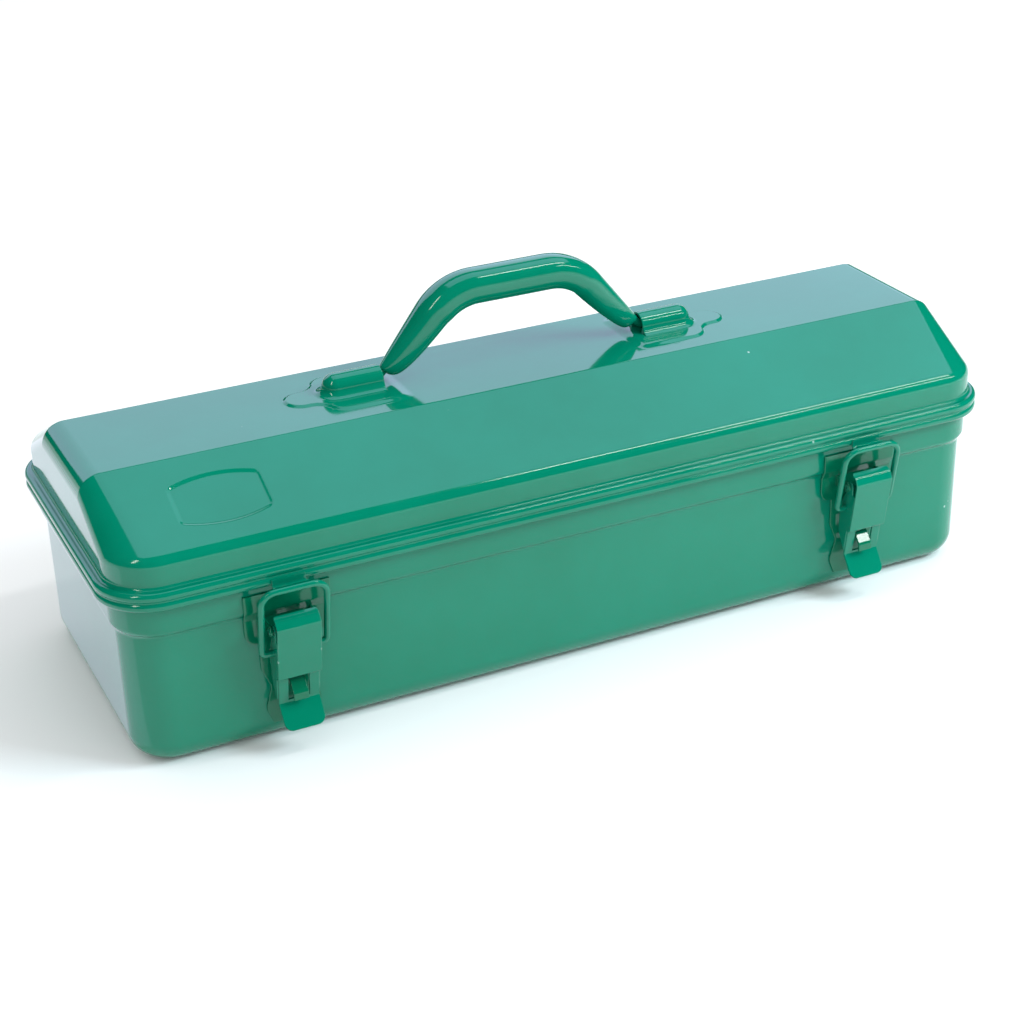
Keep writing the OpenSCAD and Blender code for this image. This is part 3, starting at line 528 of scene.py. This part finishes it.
def rolled_edge(grip, outer, inner, edge):
    """Rounds the free edge between outer and inner skin, at the first or the last column."""
    a, b = outer[:, edge], inner[:, edge]
    middle, reach = (a + b) / 2, (a - b) / 2
    size = np.linalg.norm(reach, axis=1, keepdims=True)
    ahead = np.cross(np.gradient(middle, axis=0), reach)
    ahead /= np.linalg.norm(ahead, axis=1, keepdims=True)
    beyond = outer[:, edge] - outer[:, 1 if edge == 0 else -2]
    ahead *= np.sign(np.einsum("ij,ij->i", ahead, beyond))[:, None]
    flatness = 0.6
    points, normals = [], []
    for t in np.linspace(0, math.pi, 7):
        points.append(middle + reach * math.cos(t) + ahead * size * math.sin(t) * flatness)
        normals.append(reach / size * math.cos(t) + ahead * math.sin(t))
    grip.grid(points, normals)


def bow_handle():
    """Bow grip pressed from sheet, open below, whose necks end in heads that turn in the sockets."""
    line = handle_line()
    opening = math.radians(50)
    turns = np.linspace(-opening, math.pi + opening, 41)
    outer, inner = handle_skin(line, turns, 0.0), handle_skin(line, turns, GRIP_SHEET)
    grip = Pressing()
    grip.grid(outer, skin_normals(outer))
    grip.grid(inner, -skin_normals(inner))
    for edge in (0, -1):
        rolled_edge(grip, outer, inner, edge)
    neck_x = line[-1][0] - 1.5
    head_x, head_end_x, head_r = 69.0, 81.0, 5.05
    profile = rounded_path([(neck_x, 0, 0), (neck_x, NECK_R, 0.5), (head_x, NECK_R, 0.2),
                            (head_x, head_r, 0.5), (head_end_x, head_r, 0.8), (head_end_x, 0, 0)], steps=5)
    for side in (1, -1):
        points, normals = [], []
        for b in np.linspace(0, 2 * math.pi, 33)[:-1]:
            c, s = math.cos(b), math.sin(b)
            points.append([(side * x, r * c, SOCKET_Z + r * s) for x, r, nx, nr in profile])
            normals.append([(-side * nx, -nr * c, -nr * s) for x, r, nx, nr in profile])
        grip.grid(points, normals, ring_rows=True)
    return grip


# Tray

def tray_pan():
    """Shallow pan whose flange rests on the ledge of the body's pinch."""
    pan = Pressing()
    flat, wall, flange = -13.1, -9.1, -7.4
    floor_z, flange_z, foot_r, edge_r = 42.9, 61.1, 4.0, 0.35
    carry_round(pan, rounded_path([
        (flat, floor_z, 0), (wall, floor_z, foot_r), (wall, flange_z, 0.3), (flange, flange_z, edge_r),
        (flange, flange_z + SHEET, edge_r), (wall - SHEET, flange_z + SHEET, 0.9),
        (wall - SHEET, floor_z + SHEET, foot_r - SHEET), (flat, floor_z + SHEET, 0)]))
    pan.flat([rim_loop(flat, floor_z)], (0, 0, -1))
    pan.flat([rim_loop(flat, floor_z + SHEET)], (0, 0, 1))
    return pan


# Latches

def place_latch(part, side):
    """Moves a latch piece, drawn as [x, distance from the wall, height], on to its side of the front wall."""
    m = Matrix.Translation((side * LATCH_X, WALL_FRONT_Y, 0)) @ Matrix.Scale(-1, 4, (0, 1, 0))
    return part.turned(m)


def bent_sheet(part, path, width, front_r=0.9, back_r=0.3, centre=0.0, spacing=0.5):
    """A latch sheet bent along a side-view path [out, height, bend radius], with rounded edges.

    width gives the sheet's full width at a height and at a length along the path."""
    bends = rounded_path(path, steps=8)
    dense = [bends[0]]
    for row in bends[1:]:
        last = dense[-1]
        gap = math.hypot(row[0] - last[0], row[1] - last[1])
        same = abs(row[2] - last[2]) + abs(row[3] - last[3]) < 1e-6
        pieces = max(1, int(gap / spacing)) if same else 1
        dense += [tuple(last[k] + (row[k] - last[k]) * i / pieces for k in range(4))
                  for i in range(1, pieces + 1)]
    length = 0.0
    points, normals = [], []
    for i, (out, z, no, nz) in enumerate(dense):
        if i:
            length += math.hypot(out - dense[i - 1][0], z - dense[i - 1][1])
        half = width(z, length) / 2
        h = PLATE / 2
        fr, br = min(front_r, half * 0.9), min(back_r, half * 0.9)
        ring = []
        fall = 0.6 * fr
        for cx, cv, rx, rv, start in ((half - fr, h - fall, fr, fall, 0), (fr - half, h - fall, fr, fall, 90),
                                      (br - half, br - h, br, br, 180), (half - br, br - h, br, br, 270)):
            for a in np.radians(np.linspace(start, start + 90, 6)):
                n = np.array([math.cos(a) / rx, math.sin(a) / rv])
                n /= np.linalg.norm(n)
                ring.append((cx + rx * math.cos(a), cv + rv * math.sin(a), n[0], n[1]))
        points.append([(centre + x, out + v * no, z + v * nz) for x, v, nx, nv in ring])
        normals.append([(nx, nv * no, nv * nz) for x, v, nx, nv in ring])
    part.grid(points, normals, ring_columns=True)
    for row, sign in ((0, -1.0), (-1, 1.0)):
        d = np.array([0, -dense[row][3], dense[row][2]])
        part.flat([points[row]], sign * d)


def upright_plate(part, outline, x0, x1, edge=0.3):
    """A plate across X between x0 and x1, with an outline [out, height, radius] and rounded edges."""
    rim = rounded_path(outline, steps=8, closed=True)
    points, normals = [], []
    for out, z, no, nz in rim:
        row, row_n = [], []
        for face, sx in ((x1, 1.0), (x0, -1.0)):
            turns = np.linspace(math.pi / 2, 0, 5) if sx > 0 else np.linspace(0, math.pi / 2, 5)
            for b in turns:
                back = edge * (1 - math.cos(b))
                row.append((face - sx * edge * (1 - math.sin(b)), out - back * no, z - back * nz))
                row_n.append((sx * math.sin(b), math.cos(b) * no, math.cos(b) * nz))
        points.append(row)
        normals.append(row_n)
    part.grid(points, normals, ring_rows=True)
    part.flat([[row[0] for row in points]], (1, 0, 0))
    part.flat([[row[-1] for row in points]], (-1, 0, 0))


TAIL_W, TAIL_LOW_Z, TAIL_CORNER_R = 17.2, 12.1, 3.0
SHOULDER_W_LOSS = 1.2


def tail_width(z, length):
    """Width of the lever's round-cornered tail."""
    up = TAIL_CORNER_R - (z - TAIL_LOW_Z)
    if up < 0:
        return TAIL_W
    return TAIL_W - 2 * TAIL_CORNER_R + 2 * math.sqrt(max(0.0, TAIL_CORNER_R ** 2 - up ** 2))


def plate_width(z, length):
    """Width of the lever's plate, a little less at its rounded upper edge."""
    return LEVER_W - SHOULDER_W_LOSS * max(0.0, 1 - length / 0.8)


def lever():
    """Lever: shoulder over the pivot, leaning plate, waist with the staple's window, tail and two cheeks."""
    part = Pressing()
    top, roll, bend, low = (10.8, 63.0), (13.5, 61.6), (15.0, 58.8), (11.2, 35.0)
    waist, foot, tip = (9.2, 34.5), (7.14, 21.6), (14.3, 12.0)
    window_x, window_side_w, back_out = 6.5, 4.2, 2.8
    bent_sheet(part, [(*top, 0), (*roll, 2.2), (*bend, 2.4), (*low, 0.7), (*waist, 0.4)], plate_width,
               back_r=0.25)
    for x in (-window_x, window_x):
        bent_sheet(part, [(low[0] - 1.2, 34.7, 0), (*waist, 0.3), (foot[0] + 0.18, foot[1] + 1.1, 0)],
                   lambda z, length: window_side_w, front_r=0.4, centre=x)
    bent_sheet(part, [(foot[0] + 0.2, foot[1] + 1.2, 0), (*foot, 1.6), (*tip, 0)], tail_width, front_r=0.4,
               spacing=0.25)
    eye_out, eye_top = PIVOT[0] + EYE_R, PIVOT[1] + EYE_R
    eye_back, eye_round = PIVOT[0] - EYE_R, EYE_R - 0.02
    cheek = [(back_out, 32, 0.8), (7.46, 23.6, 0.3), (*waist, 0.2), (low[0], 35.3, 0.3), (13.9, 52.8, 0.3),
             (eye_out, 52.8, 0.9), (eye_out, eye_top, eye_round), (eye_back, eye_top, eye_round),
             (eye_back, 53.1, 1.5), (back_out, 44.4, 3.0)]
    for x in (-LEVER_W / 2, LEVER_W / 2 - PLATE):
        upright_plate(part, cheek, x, x + PLATE)
    return part


def base_width(z, length):
    """Width of the latch base: broad head, narrower middle, waist and spreading foot."""
    middle_z, middle_w = 35.0, 25.0
    head_z, head_w, corner_r = 52.0, 36.0, 5.0
    heights = [BASE_LOW_Z, 15.6, 17.6, 25.6, 27.0, middle_z]
    widths = [BASE_NECK_W, 23.0, 23.0, BASE_NECK_W, BASE_NECK_W, middle_w]
    if z < middle_z:
        return float(np.interp(z, heights, widths))
    if z < head_z - corner_r:
        return middle_w
    return head_w - 2 * corner_r + 2 * math.sqrt(corner_r ** 2 - max(0.0, head_z - z) ** 2)


def latch_base():
    """Base plate, joggled forward at its head, with the two ears that hold the lever's pin."""
    part = Pressing()
    flat, joggled, joggle_r = 0.5, 2.5, 2.0
    bent_sheet(part, [(flat, BASE_LOW_Z, 0), (flat, 58.5, joggle_r), (joggled, 62.5, joggle_r),
                      (joggled, BASE_TOP_Z, 0)], base_width, front_r=0.35)
    ear_r, root_out = 2.6, 0.9
    low_z, high_z, end_r = PIVOT[1] - ear_r, PIVOT[1] + ear_r, ear_r - 0.02
    ear = [(root_out, low_z, 0.3), (PIVOT[0], low_z, end_r), (PIVOT[0] + ear_r, PIVOT[1], 1.2),
           (PIVOT[0], high_z, end_r), (root_out, high_z, 0.3)]
    for x in (-EAR_X - PLATE, EAR_X):
        upright_plate(part, ear, x, x + PLATE)
    return part


def staple():
    """Padlock staple: a foot on the base and a tongue out through the lever's window."""
    part = Pressing()
    root, tip, width = 1.5, 10.7, 6.4
    bent_sheet(part, [(root, 25.6, 0), (root, 31.2, 1), (6.5, 31.2, 2.2), (tip, 26.6, 2.2), (tip, 23.6, 0)],
               lambda z, length: width, front_r=0.35)
    return part


def keeper():
    """Hook of sheet that curls forward and up in front of the lower bead."""
    part = Pressing()
    back, front, low = HOOK[0] - HOOK_R, HOOK[0] + HOOK_R, HOOK[1] - HOOK_R
    width = 14.0
    bent_sheet(part, [(back, 77.2, 0), (back, low, HOOK_R - 0.01), (front, low, HOOK_R - 0.01),
                      (front, HOOK[1] + 0.5, 0)], lambda z, length: width, front_r=0.35)
    return part


def wire_loop():
    """Bail of round wire: its two ends turn in the lever's cheeks, and it leans out past the keeper's lip."""
    half_w, foot_r, corner_r, end_x, clear = 13.65, 2.0, 6.0, 7.2, 0.3
    length = math.hypot(HOOK[0] - BAIL_PIVOT[0], HOOK[1] - BAIL_PIVOT[1])
    lip_out = HOOK[0] + HOOK_R + PLATE / 2
    lean = Matrix.Rotation(-math.asin((lip_out + clear + WIRE_R - BAIL_PIVOT[0]) / length), 3, "X")
    foot = Vector((0, *BAIL_PIVOT))
    path = rounded_path([(end_x, 0, 0), (half_w, 0, foot_r), (half_w, length, corner_r),
                         (-half_w, length, corner_r), (-half_w, 0, foot_r), (-end_x, 0, 0)], steps=12)
    points, normals = [], []
    for x, v, nx, nv in path:
        row, row_n = [], []
        for b in np.linspace(0, 2 * math.pi, 25)[:-1]:
            side = Vector((nx * math.cos(b), math.sin(b), nv * math.cos(b)))
            row.append(tuple(foot + lean @ (Vector((x, 0, v)) + WIRE_R * side)))
            row_n.append(tuple(lean @ side))
        points.append(row)
        normals.append(row_n)
    part = Pressing()
    part.grid(points, normals, ring_columns=True)
    for row, d in ((0, -1.0), (-1, 1.0)):
        part.flat([points[row]], (d, 0, 0))
    return part


# Finishes

class Flow:
    """A value or colour on its way through a material; sums and products of values become Math nodes."""

    def __init__(self, finish, socket):
        self.finish, self.socket = finish, socket

    def _math(self, operation, first, second):
        return self.finish.node("ShaderNodeMath", {"operation": operation}, {0: first, 1: second})

    def __add__(self, other):
        return self._math("ADD", self, other)

    def __radd__(self, other):
        return self._math("ADD", other, self)

    def __sub__(self, other):
        return self._math("SUBTRACT", self, other)

    def __mul__(self, other):
        return self._math("MULTIPLY", self, other)

    def __rmul__(self, other):
        return self._math("MULTIPLY", other, self)


class Finish:
    """A new material and the one method that adds its nodes."""

    def __init__(self, name):
        self.material = bpy.data.materials.new(name)
        self.material.use_nodes = True
        self.tree = self.material.node_tree
        self.tree.nodes.clear()

    def node(self, kind, settings, inputs, output=0):
        made = self.tree.nodes.new(kind)
        for key, value in settings.items():
            setattr(made, key, value)
        for key, value in inputs.items():
            if isinstance(value, Flow):
                self.tree.links.new(value.socket, made.inputs[key])
            else:
                made.inputs[key].default_value = value
        return Flow(self, made.outputs[output]) if len(made.outputs) else None

    def noise(self, place, scale, detail=2.0, roughness=0.5):
        return self.node("ShaderNodeTexNoise", {}, {"Vector": place, "Scale": scale, "Detail": detail,
                                                    "Roughness": roughness})

    def ramp(self, value, low, high):
        """Smooth step from 0 where value is low to 1 where it is high."""
        return self.node("ShaderNodeMapRange", {"interpolation_type": "SMOOTHSTEP"},
                         {"Value": value, "From Min": low, "From Max": high})

    def mix(self, factor, first, second):
        return self.node("ShaderNodeMix", {"data_type": "RGBA"}, {0: factor, 6: first, 7: second}, output=2)


def enamel(name, base, pale, worn, roughness):
    """Sprayed gloss enamel: soft drift of shade, orange peel, and thin or chipped spots along the edges."""
    finish = Finish(name)
    place = finish.node("ShaderNodeTexCoord", {}, {}, output="Object")
    cloud = finish.noise(place, 9.0, detail=3.0)
    mottle = finish.noise(place, 55.0, detail=4.0, roughness=0.6)
    peel = finish.noise(place, 380.0)
    wave = finish.noise(place, 26.0, detail=1.0)
    # Near an edge the Bevel node's normal turns away from the surface's own
    soft = finish.node("ShaderNodeBevel", {"samples": 6}, {"Radius": 0.0009})
    own = finish.node("ShaderNodeNewGeometry", {}, {}, output="Normal")
    turn = finish.node("ShaderNodeVectorMath", {"operation": "DOT_PRODUCT"}, {0: soft, 1: own},
                       output="Value")
    edge = finish.ramp(turn, 0.985, 0.9)
    chip_shape = finish.node("ShaderNodeTexVoronoi", {"feature": "F1"}, {"Vector": place, "Scale": 210.0})
    chip_here = finish.noise(place, 34.0)
    chips = finish.ramp(chip_shape, 0.16, 0.1) * finish.ramp(chip_here + 0.1 * edge, 0.71, 0.72)
    thin = edge * finish.ramp(mottle, 0.45, 0.7)
    drift = finish.ramp(cloud, 0.35, 0.65) * 0.7 + finish.ramp(mottle, 0.3, 0.7) * 0.3
    shade = finish.mix(drift, (*base, 1), (*pale, 1))
    shade = finish.mix(0.25 * thin, shade, (*worn, 1))
    shade = finish.mix(chips, shade, (*worn, 1))
    rough = roughness + 0.03 * finish.ramp(mottle, 0.35, 0.7) + 0.1 * thin + 0.25 * chips
    relief = wave * 0.25 + peel * 0.04 + mottle * 0.03 - 0.1 * chips
    bump = finish.node("ShaderNodeBump", {}, {"Strength": 0.35, "Distance": 0.0004, "Height": relief})
    shader = finish.node("ShaderNodeBsdfPrincipled", {}, {
        "Base Color": shade, "Roughness": rough, "Normal": bump, "IOR": 1.46,
        "Coat Weight": 0.1, "Coat Roughness": 0.04, "Coat IOR": 1.4})
    finish.node("ShaderNodeOutputMaterial", {}, {"Surface": shader})
    return finish.material


def floor_paper():
    """Pale matt floor with a grain that is barely seen."""
    finish = Finish("pale_floor")
    place = finish.node("ShaderNodeTexCoord", {}, {}, output="Object")
    shade = finish.mix(finish.noise(place, 3.0), (0.88, 0.88, 0.88, 1), (0.9, 0.9, 0.9, 1))
    shader = finish.node("ShaderNodeBsdfPrincipled", {}, {"Base Color": shade, "Roughness": 0.9,
                                                          "Specular IOR Level": 0.0})
    finish.node("ShaderNodeOutputMaterial", {}, {"Surface": shader})
    return finish.material


GREEN = enamel("gloss_green_enamel", base=(0.0, 0.17, 0.095), pale=(0.0, 0.193, 0.114),
               worn=(0.3, 0.45, 0.4), roughness=0.07)
# A darker copy of the same green enamel, for pieces that sit behind or under others: painted shade, not a
# second paint.
SHADED_GREEN = enamel("green_enamel_painted_shade", base=(0.0, 0.125, 0.06), pale=(0.0, 0.15, 0.075),
                    worn=(0.25, 0.4, 0.35), roughness=0.1)

body_pan().make("body_pan", "box", GREEN, ["body_shell"], "green_paint")
camber_lid().make("camber_lid", "lid", GREEN, ["lid_shell"], "green_paint")
bow_handle().make("bow_handle", "handle", GREEN, ["carry_handle"], "green_paint")
tray_pan().make("lift_out_pan", "tray", GREEN, ["tray_pan"], "green_paint")
for side, label in ((-1, "left"), (1, "right")):
    place_latch(lever(), side).make("lever_" + label + "_sheet", "lever_" + label, GREEN,
                                    ["latch_lever_" + label], "green_paint")
    place_latch(wire_loop(), side).make("bail_" + label + "_wire", "bail_" + label, GREEN,
                                        ["latch_bail_" + label], "green_paint")
    # The base plates and staples sit behind the levers and take the darker copy of the enamel: painted shade.
    place_latch(latch_base(), side).make("base_" + label + "_plate", "box", SHADED_GREEN,
                                         ["latch_base_" + label], "green_paint_dark")
    place_latch(staple(), side).make("staple_" + label + "_tongue", "box", SHADED_GREEN,
                                     ["latch_staple_" + label], "green_paint_dark")
    place_latch(keeper(), side).make("keeper_" + label + "_hook", "lid", GREEN,
                                     ["latch_keeper_" + label], "green_paint")

# The CAD's own small pieces keep their shape and get the paint; the hinge leaves and socket covers also get a
# broken edge. The body's hinge leaves and the socket covers get the darker copy of the enamel: painted shade
# for the shaded places where they sit.
for name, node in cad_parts.items():
    dark = name.startswith(("hinge_body_leaf", "socket_cover"))
    node.data.materials.clear()
    node.data.materials.append(SHADED_GREEN if dark else GREEN)
    if name.startswith(("hinge_body_leaf", "hinge_lid_leaf", "socket_cover")):
        weld = node.modifiers.new("weld", "WELD")
        weld.merge_threshold = 0.00001
        edge = node.modifiers.new("broken_edge", "BEVEL")
        edge.width = 0.00025
        edge.segments = 2
        edge.limit_method = "ANGLE"
        edge.angle_limit = math.radians(40)

# Camera of the photograph
AZIMUTH, ELEVATION, ROLL = math.radians(24.91), math.radians(26.79), math.radians(-1.57)
TARGET, DISTANCE = Vector((-1.83, 0, 38.89)), 910.7
FOCAL_PX, PHOTO_PX, SENSOR_W = 2014.88, 1024, 36
ahead = Vector((math.sin(AZIMUTH) * math.cos(ELEVATION), math.cos(AZIMUTH) * math.cos(ELEVATION),
                -math.sin(ELEVATION)))
level = Vector((math.cos(AZIMUTH), -math.sin(AZIMUTH), 0))
upright = level.cross(ahead)
across = level * math.cos(ROLL) + upright * math.sin(ROLL)
above = upright * math.cos(ROLL) - level * math.sin(ROLL)
lens = bpy.data.cameras.new("camera")
lens.sensor_width = SENSOR_W
lens.lens = FOCAL_PX * SENSOR_W / PHOTO_PX
camera = bpy.data.objects.new("camera", lens)
bpy.context.scene.collection.objects.link(camera)
spot = TARGET * MM - ahead * DISTANCE * MM
turn = Matrix((across, above, -ahead)).transposed().to_4x4()
camera.matrix_world = Matrix.Translation(spot) @ turn
lens.clip_start = 0.01
bpy.context.scene.camera = camera

# Floor and light, in metres
FLOOR_REACH = 30
floor_mesh = bpy.data.meshes.new("floor")
floor_mesh.from_pydata([(-FLOOR_REACH, -FLOOR_REACH, 0), (FLOOR_REACH, -FLOOR_REACH, 0),
                        (FLOOR_REACH, FLOOR_REACH, 0), (-FLOOR_REACH, FLOOR_REACH, 0)], [], [(0, 1, 2, 3)])
floor_mesh.materials.append(floor_paper())
floor = bpy.data.objects.new("floor", floor_mesh)
bpy.context.scene.collection.objects.link(floor)


def soft_box(name, place, aim, size, radiance, colour=(1, 1, 1), shown="both"):
    """A rectangular light that lights the pieces, shows in their gloss, or does both."""
    light = bpy.data.lights.new(name, "AREA")
    light.shape = "RECTANGLE"
    light.size, light.size_y = size
    light.energy = radiance * math.pi * size[0] * size[1]
    light.color = colour
    box = bpy.data.objects.new(name, light)
    box.location = place
    box.rotation_euler = (Vector(aim) - Vector(place)).to_track_quat("-Z", "Y").to_euler()
    box.visible_camera = False
    box.visible_diffuse = shown != "in gloss"
    box.visible_glossy = shown != "as light"
    bpy.context.scene.collection.objects.link(box)


soft_box("key_light", place=(0.9, -0.75, 0.9), aim=(0.2, 0, 0.05), size=(0.55, 0.35), radiance=24,
         colour=(0.72, 0.92, 1.0), shown="as light")
soft_box("ridge_strip", place=(1.2, -0.6, 2.0), aim=(1.2, 0, 0.05), size=(0.9, 0.15), radiance=24)
soft_box("rim_strip", place=(1.0, -0.75, 0.9), aim=(1.0, 0, 0.05), size=(0.8, 0.035), radiance=34,
         shown="in gloss")
soft_box("side_strip", place=(-1.9, -1.1, 2.3), aim=(0, 0, 0.1), size=(0.36, 1.3), radiance=12,
         colour=(1.0, 0.97, 0.88), shown="in gloss")
soft_box("back_panel", place=(0.8, 2.6, 1.5), aim=(0.8, 0, 1.5), size=(4.4, 1.8), radiance=2.3,
         colour=(0.63, 0.66, 1.0), shown="in gloss")
soft_box("top_panel", place=(0.9, 0.7, 2.6), aim=(0.9, 0.7, 0), size=(3.2, 2.0), radiance=2.4,
         colour=(0.5, 0.68, 1.0), shown="in gloss")
soft_box("end_panel", place=(-0.6, 0.33, 0.004), aim=(-0.6, 0.33, 1), size=(0.8, 0.8), radiance=0.5,
         colour=(0.8, 0.68, 1.0), shown="in gloss")
world = bpy.data.worlds.new("studio")
bpy.context.scene.world = world
world.use_nodes = True
background = world.node_tree.nodes["Background"]
background.inputs["Color"].default_value = (0.96, 0.98, 1.0, 1)
background.inputs["Strength"].default_value = 1.05
world.cycles_visibility.glossy = False
bpy.context.scene.view_settings.view_transform = "Standard"
